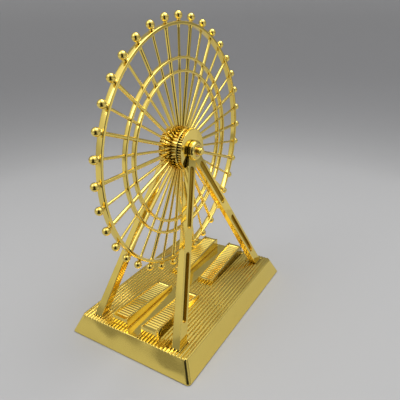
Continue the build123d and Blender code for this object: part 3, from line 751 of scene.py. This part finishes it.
# %% Leg feet
STRIP_EDGE = 4.1                         # the ribs start beside the smooth centre strip
RIB_COUNT = 15
RIB_PITCH = 2.1333
RIB_HEIGHT = 0.75
BLOCK_X, BLOCK_Y = 50.1, 26.9
BLOCK_LENGTH, BLOCK_WIDTH = 8.5, 8.4
POCKET_FLOOR = 6.4

rib_radius = (RIB_PITCH ** 2 / 4 + RIB_HEIGHT ** 2) / (2 * RIB_HEIGHT)
rib_half_angle = math.asin(RIB_PITCH / 2 / rib_radius)
block = bmesh.new()
point = block.verts.new((BLOCK_X - BLOCK_LENGTH / 2, STRIP_EDGE, DECK_TOP - RIB_HEIGHT))
for rib in range(RIB_COUNT):
    arc_centre = (point.co.x, point.co.y + RIB_PITCH / 2, DECK_TOP - rib_radius)
    arc = bmesh.ops.spin(block, geom=[point], cent=arc_centre, axis=(1, 0, 0),
                         angle=-2 * rib_half_angle, steps=8)
    point = only(VERT, arc["geom_last"])[0]
pulled = bmesh.ops.extrude_edge_only(block, edges=block.edges[:])["geom"]
bmesh.ops.translate(block, vec=(BLOCK_LENGTH, 0, 0), verts=only(VERT, pulled))
for side in (-1, 1):
    cut_off(block, (0, BLOCK_Y + side * BLOCK_WIDTH / 2, 0), (0, side, 0), closed=False)
lowered = bmesh.ops.extrude_face_region(block, geom=block.faces[:], use_keep_orig=True)["geom"]
for vert in only(VERT, lowered):
    vert.co.z = POCKET_FLOOR
join_into(leg, block)
print("leg and foot have", len(leg.faces), "faces")

# %% [markdown]
# The model is the same on both sides of both middle lines, so one leg, and later one ramp, is
# mirrored into all four corners. A negative scale turns a shape inside out, and `keep` turns its
# faces outwards again.

# %% Legs in place
CORNERS = {"front_left": (-1, -1), "front_right": (1, -1), "rear_left": (-1, 1), "rear_right": (1, 1)}


def keep_at_corners(shape, name, slot_name, material, node):
    for corner, (x_side, y_side) in CORNERS.items():
        placed = shape.copy()
        bmesh.ops.scale(placed, vec=(x_side, y_side, 1), verts=placed.verts)
        keep(placed, name + corner, "stand", slot_name, material, node + corner)
    shape.free()


keep_at_corners(leg, "leg_bar_", "leg_gold", leg_gold, "leg_")

# %% [markdown]
# Four ramps lead up to the wheel. Each is a wedge with a low curb along both sides and cross ribs
# between them for grip. A U-shaped face is extruded along X in two runs, and its top is raised after
# the first. The sides lean in a little, as they must to come out of a mould.

# %% Ramp wedge
RAMP_LOW_X, RAMP_LENGTH, RAMP_WIDTH = 8.4, 45.6, 11.3
RAMP_MIDDLE_Y = 10.45
RAMP_FOOT = DECK_TOP - RIB_HEIGHT
RAMP_LOW, RAMP_HIGH = DECK_TOP + 2.5, DECK_TOP + 6.5
RAMP_LANDING = 2.4
RAMP_DRAFT = math.tan(math.radians(3.5))
RAMP_EDGE = 0.22
CURB_WIDTH, CURB_HEIGHT = 0.9, 0.55
TREAD_COUNT, TREAD_HEIGHT = 21, 0.5

slope_end = RAMP_LOW_X + RAMP_LENGTH - RAMP_LANDING
foot_half = RAMP_WIDTH / 2
top_half = foot_half - (RAMP_LOW - RAMP_FOOT) * RAMP_DRAFT
tread_half = RAMP_WIDTH / 2 - (RAMP_HIGH - RAMP_FOOT) * RAMP_DRAFT - CURB_WIDTH
channel = RAMP_LOW - CURB_HEIGHT - TREAD_HEIGHT - 0.1
section = [(-foot_half, RAMP_FOOT), (foot_half, RAMP_FOOT), (top_half, RAMP_LOW),
           (tread_half, RAMP_LOW), (tread_half, channel), (-tread_half, channel),
           (-tread_half, RAMP_LOW), (-top_half, RAMP_LOW)]

ramp = bmesh.new()
ramp.faces.new([ramp.verts.new((RAMP_LOW_X, RAMP_MIDDLE_Y + y, z)) for y, z in section])
for run, rise in ((slope_end - RAMP_LOW_X, RAMP_HIGH - RAMP_LOW), (RAMP_LANDING, 0.0)):
    end = max(ramp.faces, key=lambda face: face.calc_center_median().x)
    grown = bmesh.ops.extrude_face_region(ramp, geom=[end], use_keep_orig=len(ramp.faces) == 1)
    moved = only(VERT, grown["geom"])
    bmesh.ops.translate(ramp, vec=(run, 0, 0), verts=moved)
    raised = [vert for vert in moved if vert.co.z > RAMP_FOOT + 0.01]
    bmesh.ops.translate(ramp, vec=(0, 0, rise), verts=raised)
bmesh.ops.recalc_face_normals(ramp, faces=ramp.faces)
round_off(ramp, RAMP_EDGE, segments=3, angle=50.0,
          chosen=lambda edge: max(vert.co.z for vert in edge.verts) > RAMP_FOOT + 0.5)
print("ramp wedge has", len(ramp.faces), "faces")

# %% [markdown]
# The treads are a fine grid, bent into a row of half waves, that lies in the channel. A grid is
# easier to bend than a solid, so it gets its thickness afterwards. At the low end a smooth bar
# stands in front of the first tread, and at the top the landing is flat.

# %% Ramp treads
RAMP_LIP, LIP_CROWN = 2.0, 0.12          # the smooth bar's length and the height of its crown
TREAD_SKIN = 0.7
TREAD_CUTS = 6 * (TREAD_COUNT + 1)

slope = (RAMP_HIGH - RAMP_LOW) / (slope_end - RAMP_LOW_X)


def tread_height(x):
    base = RAMP_LOW - CURB_HEIGHT + slope * (x - RAMP_LOW_X)
    share = (x - RAMP_LOW_X) / (slope_end - RAMP_LOW_X) * TREAD_COUNT
    if x > slope_end - 0.01:
        return RAMP_HIGH - CURB_HEIGHT
    if x < RAMP_LOW_X + RAMP_LIP:
        return base - LIP_CROWN + LIP_CROWN * math.sin(math.pi * (x - RAMP_LOW_X) / RAMP_LIP)
    return base - TREAD_HEIGHT + TREAD_HEIGHT * math.sin(math.pi * (share % 1.0))


treads = bmesh.new()
bmesh.ops.create_grid(treads, x_segments=TREAD_CUTS, y_segments=1, size=0.5)
bmesh.ops.scale(treads, vec=(RAMP_LENGTH - 0.1, 2 * tread_half, 1), verts=treads.verts)
bmesh.ops.translate(treads, vec=(RAMP_LOW_X + RAMP_LENGTH / 2, RAMP_MIDDLE_Y, 0), verts=treads.verts)
for vert in treads.verts:
    vert.co.z = tread_height(vert.co.x)
under = bmesh.ops.extrude_face_region(treads, geom=treads.faces[:], use_keep_orig=True)["geom"]
bmesh.ops.translate(treads, vec=(0, 0, -TREAD_SKIN), verts=only(VERT, under))
join_into(ramp, treads)
print("ramp has", len(ramp.faces), "faces")
keep_at_corners(ramp, "ramp_wedge_", "ramp_gold", ramp_gold, "ramp_")

# %% [markdown]
# The underside has no gold. A moulded black cover closes the hollow casting, four soft rubber feet
# are stuck to it, and plain zinc-plated screws hold the cover and the legs. Moulded plastic takes a
# fine grain from its mould, and rubber is duller and catches dust, so each gets its own noise.

# %% Plastic, rubber and steel
def grained(name, dark, light, roughness, metallic, scale, depth):
    material, shader = new_material(name, dark, roughness, metallic)
    tree = material.node_tree
    grain = object_noise(tree, scale, 6.0)
    shade = new_node(tree, "Mix", {"Factor": grain, "A": (*dark, 1.0), "B": (*light, 1.0)},
                     data_type="RGBA")
    dull = new_node(tree, "MapRange", {"Value": grain, "To Min": roughness - 0.1,
                                       "To Max": min(roughness + 0.12, 1.0)})
    bump = new_node(tree, "Bump", {"Strength": 0.6, "Distance": depth, "Height": grain})
    feed(tree, shader, {"Base Color": shade.outputs["Result"], "Normal": bump.outputs["Normal"],
                        "Roughness": dull.outputs["Result"]})
    print("finish", name)
    return material


cover_plastic = grained("cover_plastic", (0.018, 0.018, 0.02), (0.035, 0.035, 0.038),
                        0.5, 0.0, 1400.0, 0.00008)
foot_rubber = grained("foot_rubber", (0.03, 0.03, 0.03), (0.075, 0.073, 0.07),
                      0.82, 0.0, 700.0, 0.0001)
screw_steel = grained("screw_steel", (0.52, 0.53, 0.54), (0.72, 0.72, 0.71),
                      0.3, 1.0, 900.0, 0.00002)

# %% [markdown]
# The ribbed casting, its cover, the feet, the screws and the hub's barrel are used as the CAD model
# has them. Their shapes are right, so only their material slots are filled.

# %% Carried-over sub-parts
CARRIED = {"base_plinth": base_gold, "base_cover": cover_plastic, "cover_screws": screw_steel,
           "rubber_feet": foot_rubber, "leg_screws": screw_steel, "hub_barrel": hub_gold}
for name, material in CARRIED.items():
    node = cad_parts[name]
    if not node.material_slots:
        node.data.materials.append(material)
    for slot in node.material_slots:
        slot.material = material
    print(name, "is", material.name, "with", len(node.material_slots), "slots")
